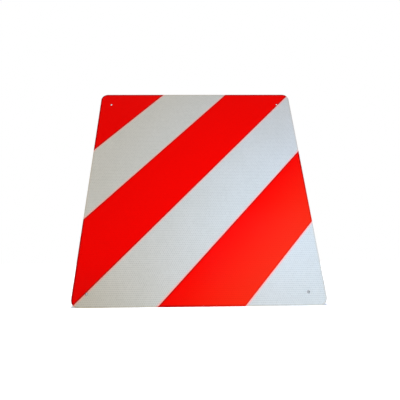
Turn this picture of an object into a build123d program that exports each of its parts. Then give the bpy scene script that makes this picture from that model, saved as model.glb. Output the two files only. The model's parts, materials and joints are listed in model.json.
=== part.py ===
from build123d import *
import os

# Overhanging load sign: a square aluminium board, faced with white retroreflective sheeting
# and three stripes of clear red film, with a hole in each corner to fasten it by.
# The board stands upright. Its bare back lies on y = 0, its face looks along -Y,
# and the origin is at the middle of the back.

# Board, in mm
board_side = 500
corner_radius = 16
plate_thickness = 1.0
broken_edge = 0.2

# Punched corner holes, through every layer, by their distances from the edges.
# The pattern sits a little low and to the left on the board.
hole_diameter = 4
hole_from_left = 28.5
hole_from_right = 34.5
hole_from_top = 32
hole_from_bottom = 24
hole_spacing_x = board_side - hole_from_left - hole_from_right
hole_spacing_z = board_side - hole_from_top - hole_from_bottom
hole_middle_x = (hole_from_left - hole_from_right) / 2
hole_middle_z = (hole_from_bottom - hole_from_top) / 2

# Layers of the sheeting, from the plate outwards
adhesive_thickness = 0.05
seal_film_thickness = 0.08
prism_film_thickness = 0.25
red_film_thickness = 0.08

# Three strips of red film of one width lie square to the diagonal from the top left corner
# to the bottom right one. The centre strip's lower edge laps a little past the board's middle.
strip_width = 120
strip_pitch = 238
centre_strip_lap = 0.8
diagonal_slope = -45
board_diagonal = board_side * 2**0.5
centre_strip_place = centre_strip_lap - strip_width / 2
pitches_from_centre = {"red_corner_stripe": -1, "red_centre_stripe": 0, "red_lower_stripe": 1}

os.makedirs("parts", exist_ok=True)


def outline_of_board():
    RectangleRounded(board_side, board_side, corner_radius)
    with Locations((hole_middle_x, hole_middle_z)):
        with GridLocations(hole_spacing_x, hole_spacing_z, 2, 2):
            Circle(hole_diameter / 2, mode=Mode.SUBTRACT)


# The plate, with the edges of its back and of its holes' back ends broken
with BuildPart() as backing_plate:
    with BuildSketch(Plane.XZ):
        outline_of_board()
    extrude(amount=plate_thickness)
    back_face = backing_plate.faces().sort_by(Axis.Y)[-1]
    chamfer(back_face.edges(), length=broken_edge)
backing_plate.part.label = "backing_plate"
export_step(backing_plate.part, "parts/backing_plate.step")

# The sheeting, laid on the plate layer by layer and trimmed flush with it
sheeting_layers = {
    "sheeting_adhesive": adhesive_thickness,
    "seal_film": seal_film_thickness,
    "prism_film": prism_film_thickness,
}
layer_back = plate_thickness
for layer_name, layer_thickness in sheeting_layers.items():
    with BuildPart() as layer:
        with BuildSketch(Plane.XZ.offset(layer_back)):
            outline_of_board()
        extrude(amount=layer_thickness)
    layer.part.label = layer_name
    export_step(layer.part, f"parts/{layer_name}.step")
    layer_back += layer_thickness

# The red film, one slanting strip in each piece, trimmed with the board
for stripe_name, pitches in pitches_from_centre.items():
    along_diagonal = centre_strip_place + pitches * strip_pitch
    strip_middle = along_diagonal / 2**0.5
    with BuildPart() as stripe:
        with BuildSketch(Plane.XZ.offset(layer_back)):
            outline_of_board()
            with Locations((strip_middle, -strip_middle)):
                Rectangle(strip_width, board_diagonal, rotation=diagonal_slope, mode=Mode.INTERSECT)
        extrude(amount=red_film_thickness)
    stripe.part.label = stripe_name
    export_step(stripe.part, f"parts/{stripe_name}.step")
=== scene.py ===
# Overhanging load sign: finishes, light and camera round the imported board
import bpy
import json
import math
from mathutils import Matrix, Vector


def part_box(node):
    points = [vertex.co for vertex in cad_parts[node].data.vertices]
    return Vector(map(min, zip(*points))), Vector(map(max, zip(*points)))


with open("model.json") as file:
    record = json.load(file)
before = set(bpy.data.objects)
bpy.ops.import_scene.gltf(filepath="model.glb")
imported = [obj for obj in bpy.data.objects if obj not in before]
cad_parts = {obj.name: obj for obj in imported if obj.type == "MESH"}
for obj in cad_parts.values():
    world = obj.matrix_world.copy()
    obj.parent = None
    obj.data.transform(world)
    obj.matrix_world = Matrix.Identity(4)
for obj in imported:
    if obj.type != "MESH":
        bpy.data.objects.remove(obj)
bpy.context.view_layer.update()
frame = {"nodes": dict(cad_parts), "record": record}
mm = 0.001
print("frame loaded:", ", ".join(sorted(frame["nodes"])))


# sRGB hex code to linear light, by the standard curve
def linear(hexCode):
    channels = [int(hexCode[i:i + 2], 16) / 255 for i in (1, 3, 5)]
    return [c / 12.92 if c <= 0.04045 else ((c + 0.055) / 1.055) ** 2.4 for c in channels] + [1.0]


# adds one node: settings are its own properties, inputs go by name or in the order of those in use,
# and an input is a plain value, a hex colour, or a node or socket to link from
def addNode(tree, kind, inputs=(), **settings):
    node = tree.nodes.new(kind)
    for name, value in settings.items():
        setattr(node, name, value)
    if isinstance(inputs, dict):
        pairs = [(node.inputs[name], value) for name, value in inputs.items()]
    else:
        pairs = zip([socket for socket in node.inputs if socket.enabled], inputs)
    for socket, value in pairs:
        if isinstance(value, str):
            value = linear(value)
        elif isinstance(value, bpy.types.Node):
            value = next(output for output in value.outputs if output.enabled)
        if isinstance(value, bpy.types.NodeSocket):
            tree.links.new(value, socket)
        else:
            socket.default_value = value
    return node


def newMaterial(name):
    material = bpy.data.materials.new(name)
    material.use_nodes = True
    material.node_tree.nodes.clear()
    return material, material.node_tree


def dress(material, *nodeNames):
    for name in nodeNames:
        shape = frame["nodes"][name]
        shape.data.materials.clear()
        shape.data.materials.append(material)


# Board: what the patterns on it are measured from
low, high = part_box("backing_plate")
holes = next(mount for mount in frame["record"]["mounts"] if mount["name"] == "corner_holes")
cornerEdge = (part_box("red_corner_stripe")[1].x - high.z) / 2 ** 0.5  # lower edge of the corner strip
lowerEdge = (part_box("red_lower_stripe")[0].x - low.z) / 2 ** 0.5  # upper edge of the lower strip
board = {
    "side": high.x - low.x,
    "corner": 16 * mm,
    "hole": holes["dims"]["hole_r_mm"] * mm,
    "holeMiddle": (holes["pos_m"][0], holes["pos_m"][2], 0),  # of the pattern of four
    "holeReach": (holes["dims"]["spacing_x_mm"] / 2 * mm, holes["dims"]["spacing_y_mm"] / 2 * mm, 0),
    "downRight": (0.5 ** 0.5, -0.5 ** 0.5, 0),  # along the diagonal that the strips lie square to
    "strip": 120 * mm,  # width of a strip of red film
    "stripMiddle": (cornerEdge + lowerEdge) / 2,  # of the centre strip, along the diagonal
    "rimGrimeAndShade": 1.2 * mm,  # how far the dirt and painted shade spread from a hole
}
board["pitch"] = (lowerEdge - cornerEdge + board["strip"]) / 2  # from strip to strip


# level x and upright z of the board, as the x and y that flat patterns are drawn in
def flatPlace(tree):
    place = addNode(tree, "ShaderNodeTexCoord")
    split = addNode(tree, "ShaderNodeSeparateXYZ", [place.outputs["Object"]])
    return addNode(tree, "ShaderNodeCombineXYZ", [split.outputs["X"], split.outputs["Z"]])


# dirt with painted shade round the corner holes: the given share at the rim, falling to 0 over the width
# that it spreads
def holeGrimeAndShade(tree, flat, share):
    shifted = addNode(tree, "ShaderNodeVectorMath", [flat, board["holeMiddle"]], operation="SUBTRACT")
    mirrored = addNode(tree, "ShaderNodeVectorMath", [shifted], operation="ABSOLUTE")
    away = addNode(tree, "ShaderNodeVectorMath", [mirrored, board["holeReach"]], operation="DISTANCE")
    ends = (board["hole"], board["hole"] + board["rimGrimeAndShade"])
    return addNode(tree, "ShaderNodeMapRange", [away, *ends, share, 0.0], interpolation_type="SMOOTHSTEP")


# 1 at the board's trimmed edge, falling to 0 over the given width
def trimmedEdge(tree, flat, width):
    straight = board["side"] / 2 - board["corner"]
    mirrored = addNode(tree, "ShaderNodeVectorMath", [flat], operation="ABSOLUTE")
    past = addNode(tree, "ShaderNodeVectorMath", [mirrored, (straight, straight, 0)], operation="SUBTRACT")
    kept = addNode(tree, "ShaderNodeVectorMath", [past, (0, 0, 0)], operation="MAXIMUM")
    reach = addNode(tree, "ShaderNodeVectorMath", [kept], operation="LENGTH")
    ends = (board["corner"], board["corner"] - width)
    return addNode(tree, "ShaderNodeMapRange", [reach, *ends, 1.0, 0.0], interpolation_type="SMOOTHSTEP")


# 1 at the cut edges of the red strips, falling to 0 outwards over the given width, or inwards if negative
def stripEdge(tree, flat, width):
    along = addNode(tree, "ShaderNodeVectorMath", [flat, board["downRight"]], operation="DOT_PRODUCT")
    shifted = addNode(tree, "ShaderNodeMath", [along, board["stripMiddle"]], operation="SUBTRACT")
    folded = addNode(tree, "ShaderNodeMath", [shifted, board["pitch"] / 2], operation="PINGPONG")
    ends = (board["strip"] / 2, board["strip"] / 2 + width)
    return addNode(tree, "ShaderNodeMapRange", [folded, *ends, 1.0, 0.0], interpolation_type="SMOOTHSTEP")


# cloudy or streaky noise, 0 to 1, whose patches are of the given width and height
def patches(tree, flat, width, height, detail, least=0.3, most=0.7):
    scaled = addNode(tree, "ShaderNodeVectorMath", [flat, (1 / width, 1 / height, 1)], operation="MULTIPLY")
    noise = addNode(tree, "ShaderNodeTexNoise", {"Vector": scaled, "Scale": 1.0, "Detail": detail})
    return addNode(tree, "ShaderNodeMapRange", [noise, least, most])


# lays coats over a colour, one after another: each has its share, its own colour and how it blends
def coated(tree, colour, coats):
    for share, coat, blend in coats:
        colour = addNode(tree, "ShaderNodeMix", [share, colour, coat], data_type="RGBA", blend_type=blend)
    return colour


# Painted shade in the lower left corner: the white and the red there are painted a little darker and
# warmer, where less light reaches.
paintedCornerShade = {
    "colour": "#f1efe9",  # multiplies what lies under it
    "along": 230 * mm,  # how far it reaches along the lower edge
    "up": 115 * mm,  # and up the side
}


# 1 in the lower left corner, falling to 0 along the lower edge and up the side: where the shade is painted
def paintedCornerShadeShare(tree, flat):
    split = addNode(tree, "ShaderNodeSeparateXYZ", [flat])
    ways = (("X", low.x, paintedCornerShade["along"]), ("Y", low.z, paintedCornerShade["up"]))
    shares = []
    for axis, start, reach in ways:
        ends = (start, start + reach)
        shares.append(addNode(tree, "ShaderNodeMapRange", [split.outputs[axis], *ends, 1.0, 0.0],
                              interpolation_type="SMOOTHSTEP"))
    return addNode(tree, "ShaderNodeMath", shares, operation="MULTIPLY")


# Sheeting: acrylic film pressed into small prisms and welded to a white backing in a honeycomb of cells.
# The eye sees a silvery white in level rows, a little greyer in the cells than on the welds round them.
sheeting = {
    "cellColour": "#c7c7c6",
    "cellColourToo": "#cdcdcc",  # the prisms catch the light a little differently from cell to cell
    "weldColour": "#e0e0de",
    "cloud": "#fbfbfa",  # multiplies broad patches of the sheet that came out duller
    "edgeColour": "#f6efe6",  # multiplies the white along the outline, a little darker and warmer there
    # dirt and painted shade round the holes
    "grimeAndShadeColour": "#35322f",
    "glowColour": "#ffa8a0",  # painted glow of light that leaves the red film by its cut edges, on the cells
    "glowWeldColour": "#ffc4bc",  # and on the welds
    "cell": 4.2 * mm,  # across the flats of a cell
    "cellShade": 2 * mm,  # patches of shade, finer than a cell so that neighbours differ
    "weld": 0.62 * mm,  # on the slanting sides of the cells
    "uprightWeld": 0.36 * mm,  # thinner, so that the level rows stand out
    "weldSlope": (0.25, 0.75),  # where a weld's sides begin and end, in shares of its width
    "edgeWidth": 4 * mm,
    "grimeAndShadeShare": 0.95,
    "glowWidth": 4.8 * mm,
    "cloudSize": 90 * mm,
    "relief": 0.02 * mm,
    "roughness": (0.34, 0.44),  # on the clear patches, and on the duller ones
    "gloss": 0.08,  # specular level: there is hardly any glare on the film
    "ior": 1.49,
}


# honeycomb that the sheeting shares with the films over and under it: 1 on the welds, and each cell's shade
def honeycomb(tree, flat):
    unit = (sheeting["cell"], sheeting["cell"] * 3 ** 0.5, 0)  # block of level rows that repeats
    half = [length / 2 for length in unit]
    back = [-length for length in half]
    moved = addNode(tree, "ShaderNodeVectorMath", [flat, half], operation="ADD")
    fromCentre = []
    for place in (flat, moved):  # the cells in the block's middle, and those at its corners
        wrapped = addNode(tree, "ShaderNodeVectorMath", [place, half, back], operation="WRAP")
        reach = addNode(tree, "ShaderNodeVectorMath", [wrapped], operation="LENGTH")
        fromCentre.append((wrapped, reach))
    (middle, middleReach), (corner, cornerReach) = fromCentre
    nearer = addNode(tree, "ShaderNodeMath", [middleReach, cornerReach], operation="LESS_THAN")
    inCell = addNode(tree, "ShaderNodeMix", [nearer, corner, middle], data_type="VECTOR")
    centre = addNode(tree, "ShaderNodeVectorMath", [flat, inCell], operation="SUBTRACT")
    shade = patches(tree, centre, sheeting["cellShade"], sheeting["cellShade"], detail=0.0)
    folded = addNode(tree, "ShaderNodeVectorMath", [inCell], operation="ABSOLUTE")
    sides = (((1, 0, 0), sheeting["uprightWeld"]), ((0.5, 0.75 ** 0.5, 0), sheeting["weld"]))
    welds = []
    for way, width in sides:
        toSide = addNode(tree, "ShaderNodeVectorMath", [folded, way], operation="DOT_PRODUCT")
        ends = [half[0] - width * share for share in sheeting["weldSlope"]]
        welds.append(addNode(tree, "ShaderNodeMapRange", [toSide, *ends, 1.0, 0.0],
                             interpolation_type="SMOOTHSTEP"))
    return addNode(tree, "ShaderNodeMath", welds, operation="MAXIMUM"), shade


def cellColours(tree, flat, finish):
    weld, shade = honeycomb(tree, flat)
    colours = coated(tree, finish["cellColour"], [
        (shade, finish["cellColourToo"], "MIX"),
        (weld, finish["weldColour"], "MIX"),
    ])
    return colours, weld


def prismaticSheeting():
    material, tree = newMaterial("prismaticAcrylicSheeting")
    flat = flatPlace(tree)
    cells, weld = cellColours(tree, flat, sheeting)
    clouds = patches(tree, flat, sheeting["cloudSize"], sheeting["cloudSize"], detail=2.0)
    glow = coated(tree, sheeting["glowColour"], [(weld, sheeting["glowWeldColour"], "MIX")])
    colour = coated(tree, cells, [
        (clouds, sheeting["cloud"], "MULTIPLY"),
        (stripEdge(tree, flat, sheeting["glowWidth"]), glow, "MIX"),
        (paintedCornerShadeShare(tree, flat), paintedCornerShade["colour"], "MULTIPLY"),
        (trimmedEdge(tree, flat, sheeting["edgeWidth"]), sheeting["edgeColour"], "MULTIPLY"),
        (holeGrimeAndShade(tree, flat, sheeting["grimeAndShadeShare"]), sheeting["grimeAndShadeColour"], "MIX"),
    ])
    rough = addNode(tree, "ShaderNodeMix", [clouds, *sheeting["roughness"]], data_type="FLOAT")
    bump = addNode(tree, "ShaderNodeBump", {"Height": weld, "Distance": sheeting["relief"]})
    film = addNode(tree, "ShaderNodeBsdfPrincipled", {
        "Base Color": colour, "Roughness": rough, "IOR": sheeting["ior"],
        "Specular IOR Level": sheeting["gloss"], "Normal": bump,
    })
    addNode(tree, "ShaderNodeOutputMaterial", {"Surface": film})
    return material


dress(prismaticSheeting(), "prism_film")
print("white sheeting finished")

# Red film: clear cast film, dyed red and laid over the sheeting.
# The eye sees a deep even red, with a painted sheen that lightens it towards the lower right, and rows of
# cells just showing through.
redFilm = {
    "cellColour": "#f80301",
    "cellColourToo": "#fb0301",
    "weldColour": "#fe0502",
    "paintedSheenColour": "#f02811",  # painted sheen of the window light towards the lower right, on the cells
    "paintedSheenWeldColour": "#f72e15",  # and on the welds
    "edgeColour": "#780606",  # darker along the cut edges and the board's outline
    # dirt and painted shade round the holes
    "grimeAndShadeColour": "#3a0505",
    "sheenFrom": 100 * mm,  # along the diagonal, from the board's middle
    "sheenTo": 268 * mm,
    "grimeAndShadeShare": 0.9,
    "edgeWidth": 3.6 * mm,  # along the cuts of the strips
    "rimWidth": 5.2 * mm,  # along the board's outline, where the darker band is wider
    "edgeShare": (0.8, 0.3),  # where the red is deep, and under the painted sheen
    "smear": 70 * mm,  # patches that a cloth has left duller
    "relief": 0.01 * mm,  # of the welds, which press through
    "roughness": (0.17, 0.26),  # where it is clear, and on the smears
    "gloss": 0.03,
    "ior": 1.46,
}


def clearRedFilm():
    material, tree = newMaterial("clearRedOverlayFilm")
    flat = flatPlace(tree)
    cells, weld = cellColours(tree, flat, redFilm)
    along = addNode(tree, "ShaderNodeVectorMath", [flat, board["downRight"]], operation="DOT_PRODUCT")
    ends = (redFilm["sheenFrom"], redFilm["sheenTo"])
    # the painted sheen grows along the diagonal towards the lower right
    paintedSheen = addNode(tree, "ShaderNodeMapRange", [along, *ends], interpolation_type="SMOOTHSTEP")
    light = coated(tree, redFilm["paintedSheenColour"], [(weld, redFilm["paintedSheenWeldColour"], "MIX")])
    rim = trimmedEdge(tree, flat, redFilm["rimWidth"])
    cuts = stripEdge(tree, flat, -redFilm["edgeWidth"])
    edges = addNode(tree, "ShaderNodeMath", [rim, cuts], operation="MAXIMUM")
    edgeShare = addNode(tree, "ShaderNodeMix", [paintedSheen, *redFilm["edgeShare"]], data_type="FLOAT")
    edgeDarkening = addNode(tree, "ShaderNodeMath", [edges, edgeShare], operation="MULTIPLY")
    colour = coated(tree, cells, [
        (paintedSheen, light, "MIX"),
        (edgeDarkening, redFilm["edgeColour"], "MIX"),
        (paintedCornerShadeShare(tree, flat), paintedCornerShade["colour"], "MULTIPLY"),
        (holeGrimeAndShade(tree, flat, redFilm["grimeAndShadeShare"]), redFilm["grimeAndShadeColour"], "MIX"),
    ])
    smears = patches(tree, flat, redFilm["smear"], redFilm["smear"], detail=3.0)
    rough = addNode(tree, "ShaderNodeMix", [smears, *redFilm["roughness"]], data_type="FLOAT")
    bump = addNode(tree, "ShaderNodeBump", {"Height": weld, "Distance": redFilm["relief"]})
    film = addNode(tree, "ShaderNodeBsdfPrincipled", {
        "Base Color": colour, "Roughness": rough, "IOR": redFilm["ior"],
        "Specular IOR Level": redFilm["gloss"], "Normal": bump,
    })
    addNode(tree, "ShaderNodeOutputMaterial", {"Surface": film})
    return material


dress(clearRedFilm(), "red_corner_stripe", "red_centre_stripe", "red_lower_stripe")
print("red film finished")

# Seal film: white polyester, welded to the prisms in the same honeycomb.
# Only its cut edge shows, as a fine dull white line.
sealFilm = {
    "cellColour": "#d2d2ce",
    "cellColourToo": "#d8d8d4",
    "weldColour": "#e4e4e0",
    "roughness": 0.5,
    "ior": 1.57,
}


def whiteSealFilm():
    material, tree = newMaterial("whitePolyesterSealFilm")
    cells, _ = cellColours(tree, flatPlace(tree), sealFilm)
    film = addNode(tree, "ShaderNodeBsdfPrincipled", {
        "Base Color": cells, "Roughness": sealFilm["roughness"], "IOR": sealFilm["ior"],
    })
    addNode(tree, "ShaderNodeOutputMaterial", {"Surface": film})
    return material


dress(whiteSealFilm(), "seal_film")

# Adhesive: clear acrylic, pressed out to the board's edge.
# The eye sees a hair line there, milky yellow where it is clean and grey where dust has stuck to it.
adhesive = {
    "colour": "#d9d2b8",
    "dustColour": "#837d72",
    "dust": 5 * mm,
    "roughness": (0.25, 0.7),  # clean, and dusty
    "ior": 1.47,
}


def clearAcrylicAdhesive():
    material, tree = newMaterial("clearAcrylicAdhesive")
    dust = patches(tree, flatPlace(tree), adhesive["dust"], adhesive["dust"], detail=3.0)
    colour = coated(tree, adhesive["colour"], [(dust, adhesive["dustColour"], "MIX")])
    rough = addNode(tree, "ShaderNodeMix", [dust, *adhesive["roughness"]], data_type="FLOAT")
    glue = addNode(tree, "ShaderNodeBsdfPrincipled", {
        "Base Color": colour, "Roughness": rough, "IOR": adhesive["ior"],
    })
    addNode(tree, "ShaderNodeOutputMaterial", {"Surface": glue})
    return material


dress(clearAcrylicAdhesive(), "sheeting_adhesive")
print("seal film and adhesive finished")

# Plate: aluminium sheet straight from the rolling mill, sheared and punched, with no paint on it.
# The eye sees a soft grey metal with fine level lines, dull stains, a few scratches and darker cut edges.
plate = {
    "colour": "#a9acaf",
    "lineColour": "#c6c8ca",
    "stainColour": "#8d9093",
    "scratchColour": "#e0e1e2",
    # the sheared edges are duller, and the walls of the punched holes carry painted shade
    "edgeColour": "#6f7275",
    "line": 1.2 * mm,  # rolling lines are finer than this, and are drawn so coarse to show
    "lineLength": 180 * mm,
    "stain": 120 * mm,
    "stainShare": 0.5,
    "scratch": 0.9 * mm,  # drawn coarser than a real one, like the lines
    "scratchLength": 90 * mm,
    "scratchTurns": (22, 108, 153),  # degrees from level
    "scratchLevels": (0.78, 0.84),  # peaks of the noise that show as scratches: only a few
    "scratchShare": 0.6,
    "grimeAndShadeShare": 0.6,
    "cutFacing": 0.5,  # what faces the front or the back by less than this is a cut edge
    "roughness": (0.28, 0.44),  # between the rolling lines, and on them
    "stainRoughness": 0.12,  # added on the stains
    "edgeRoughness": 0.62,
    "relief": 0.01 * mm,  # of the rolling lines and the scratches
}


# scratches that lie in a few directions, strongest in the middle of each
def handlingScratches(tree, flat):
    least, most = plate["scratchLevels"]
    scratches = 0.0
    for turn in plate["scratchTurns"]:
        turned = addNode(tree, "ShaderNodeVectorRotate", {
            "Vector": flat, "Angle": math.radians(turn),
        }, rotation_type="Z_AXIS")
        streaks = patches(tree, turned, plate["scratchLength"], plate["scratch"], 0.0, least, most)
        scratches = addNode(tree, "ShaderNodeMath", [scratches, streaks], operation="MAXIMUM")
    return addNode(tree, "ShaderNodeMath", [scratches, plate["scratchShare"]], operation="MULTIPLY")


# 1 on the sheared sides and inside the punched holes, 0 on the flats and on the broken back edges
def cutEdge(tree):
    surface = addNode(tree, "ShaderNodeNewGeometry")
    split = addNode(tree, "ShaderNodeSeparateXYZ", [surface.outputs["Normal"]])
    facing = addNode(tree, "ShaderNodeMath", [split.outputs["Y"]], operation="ABSOLUTE")
    return addNode(tree, "ShaderNodeMath", [facing, plate["cutFacing"]], operation="LESS_THAN")


def rolledAluminium():
    material, tree = newMaterial("millFinishRolledAluminium")
    flat = flatPlace(tree)
    lines = patches(tree, flat, plate["lineLength"], plate["line"], detail=3.0)
    stains = patches(tree, flat, plate["stain"], plate["stain"], detail=5.0)
    dull = addNode(tree, "ShaderNodeMath", [stains, plate["stainShare"]], operation="MULTIPLY")
    scratches = handlingScratches(tree, flat)
    edge = cutEdge(tree)
    colour = coated(tree, plate["colour"], [
        (lines, plate["lineColour"], "MIX"),
        (dull, plate["stainColour"], "MIX"),
        (scratches, plate["scratchColour"], "MIX"),
        (holeGrimeAndShade(tree, flat, plate["grimeAndShadeShare"]), plate["edgeColour"], "MIX"),
        (edge, plate["edgeColour"], "MIX"),
    ])
    rolled = addNode(tree, "ShaderNodeMix", [lines, *plate["roughness"]], data_type="FLOAT")
    stained = addNode(tree, "ShaderNodeMath", [
        stains, plate["stainRoughness"], rolled,
    ], operation="MULTIPLY_ADD")
    rough = addNode(tree, "ShaderNodeMix", [edge, stained, plate["edgeRoughness"]], data_type="FLOAT")
    grooves = addNode(tree, "ShaderNodeMath", [lines, scratches], operation="MAXIMUM")
    bump = addNode(tree, "ShaderNodeBump", {"Height": grooves, "Distance": plate["relief"]}, invert=True)
    metal = addNode(tree, "ShaderNodeBsdfPrincipled", {
        "Base Color": colour, "Metallic": 1.0, "Roughness": rough, "Normal": bump,
    })
    addNode(tree, "ShaderNodeOutputMaterial", {"Surface": metal})
    return material


dress(rolledAluminium(), "backing_plate")
print("aluminium finished")

# Stage: a white floor under the board and white all round
stage = {
    "floorSize": 12.0,
    "floorColour": "#d8e1f9",  # a cool white, which is neutral under its warm lamp
    "bounceColour": "#9c9c9c",  # of the floor, for the light that it throws back on the board
    "glowColour": "#ffffff",
    "glow": 0.32,  # of the floor near the board, where its own lamp makes it white
    "glowRises": (0.4, 1.4),  # between these distances the glow grows to white, as that lamp falls off
    "ambientColour": "#fff5dd",
    "ambient": 0.313,
    "roundColour": "#ffffff",  # what is seen all round
}

bpy.ops.mesh.primitive_plane_add(size=stage["floorSize"], location=(0, 0, low.z))
floor = bpy.context.object
floor.name = "studioFloor"


# 1 for what the camera, a mirror or a clear piece sees, 0 for the light that falls on the board
def seenDirectly(tree):
    path = addNode(tree, "ShaderNodeLightPath")
    seen = path.outputs["Is Camera Ray"]
    for ray in ("Is Glossy Ray", "Is Transmission Ray"):
        seen = addNode(tree, "ShaderNodeMath", [seen, path.outputs[ray]], operation="MAXIMUM")
    return seen


# Floor: matt white paint, rolled on.
# The eye sees plain white, with the board's soft shadow on it.
def paintedFloor():
    material, tree = newMaterial("mattWhiteFloorPaint")
    seen = seenDirectly(tree)
    colour = coated(tree, stage["bounceColour"], [(seen, stage["floorColour"], "MIX")])
    paint = addNode(tree, "ShaderNodeBsdfDiffuse", {"Color": colour})
    place = addNode(tree, "ShaderNodeTexCoord")
    away = addNode(tree, "ShaderNodeVectorMath", [place.outputs["Object"]], operation="LENGTH")
    strength = addNode(tree, "ShaderNodeMapRange", [away, *stage["glowRises"], stage["glow"], 1.0],
                       interpolation_type="SMOOTHSTEP")
    seenStrength = addNode(tree, "ShaderNodeMath", [seen, strength], operation="MULTIPLY")
    glow = addNode(tree, "ShaderNodeEmission", {"Color": stage["glowColour"], "Strength": seenStrength})
    both = addNode(tree, "ShaderNodeAddShader", [paint, glow])
    addNode(tree, "ShaderNodeOutputMaterial", {"Surface": both})
    return material


floor.data.materials.append(paintedFloor())

world = bpy.data.worlds.new("whiteStudio")
bpy.context.scene.world = world
world.use_nodes = True
air = world.node_tree
air.nodes.clear()
soft = addNode(air, "ShaderNodeBackground", {"Color": stage["ambientColour"], "Strength": stage["ambient"]})
white = addNode(air, "ShaderNodeBackground", {"Color": stage["roundColour"], "Strength": 1.0})
around = addNode(air, "ShaderNodeMixShader", [seenDirectly(air), soft, white])
addNode(air, "ShaderNodeOutputWorld", {"Surface": around})
print("stage set")

# Lamps: a soft warm sun from the front left, a cool window box at the lower right with a patch of
# bluer sky above it, and a box behind. The sun and the box behind light the board alone.
# The floor has a lamp of its own, near enough for the board's shadow to spread out behind it.
lamps = {
    "softSun": {
        "kind": "SUN", "place": (-0.141, -0.446, 0.884), "aim": (0, 0, 0), "spread": 3,
        "power": 2.40, "colour": "#fff5e0", "glare": True, "lights": frame["nodes"].values(),
    },
    "floorLamp": {
        "kind": "AREA", "place": (-0.02, -0.8, 1.65), "aim": (0, 0, low.z), "size": (0.06, 0.06),
        "power": 60, "colour": "#fff5dd", "glare": False, "lights": [floor],
    },
    "coolWindow": {
        "kind": "AREA", "place": (0.22, -0.38, -0.12), "aim": (0.22, 0, -0.12), "size": (0.4, 0.25),
        "power": 1.22, "colour": "#b0daff", "glare": False, "lights": None,
    },
    "skyPatch": {
        "kind": "AREA", "place": (0.36, -0.36, 0.08), "aim": (0.26, 0, 0.08), "size": (0.3, 0.4),
        "power": 0.36, "colour": "#649fff", "glare": False, "lights": None,
    },
    "backBox": {
        "kind": "AREA", "place": (-0.9, 1.2, 0.8), "aim": (0, 0, 0), "size": (0.8, 0.8),
        "power": 3.0, "colour": "#ffffff", "glare": True, "lights": frame["nodes"].values(),
    },
}
for name, lamp in lamps.items():
    light = bpy.data.lights.new(name, lamp["kind"])
    if lamp["kind"] == "SUN":
        light.angle = math.radians(lamp["spread"])
    else:
        light.shape = "RECTANGLE"
        light.size, light.size_y = lamp["size"]
    light.energy = lamp["power"]
    light.color = linear(lamp["colour"])[:3]
    holder = bpy.data.objects.new(name, light)
    bpy.context.scene.collection.objects.link(holder)
    holder.location = lamp["place"]
    gaze = Vector(lamp["aim"]) - Vector(lamp["place"])
    holder.rotation_euler = gaze.to_track_quat("-Z", "Y").to_euler()
    holder.visible_camera = False
    holder.visible_glossy = lamp["glare"]
    if lamp["lights"]:  # only these, instead of everything
        lit = bpy.data.collections.new(name)
        for shape in lamp["lights"]:
            lit.objects.link(shape)
        holder.light_linking.receiver_collection = lit
print("lamps hung")

# Camera: near and low, so that the board's sides run together towards its top
camera = {
    "lens": 21.03,  # mm
    "sensor": 36,  # mm
    "shift": (0.0276, -0.075),
    "place": (-0.0255, -0.5169, -0.1642),
    "turn": (110.946, 0.487, -0.547),  # degrees
    "nearest": 0.01,
}
eye = bpy.data.cameras.new("camera")
eye.lens = camera["lens"]
eye.sensor_width = camera["sensor"]
eye.shift_x, eye.shift_y = camera["shift"]
eye.clip_start = camera["nearest"]
viewer = bpy.data.objects.new("camera", eye)
bpy.context.scene.collection.objects.link(viewer)
viewer.location = camera["place"]
viewer.rotation_euler = [math.radians(angle) for angle in camera["turn"]]
bpy.context.scene.camera = viewer
bpy.context.scene.view_settings.view_transform = "Standard"
print("camera set")
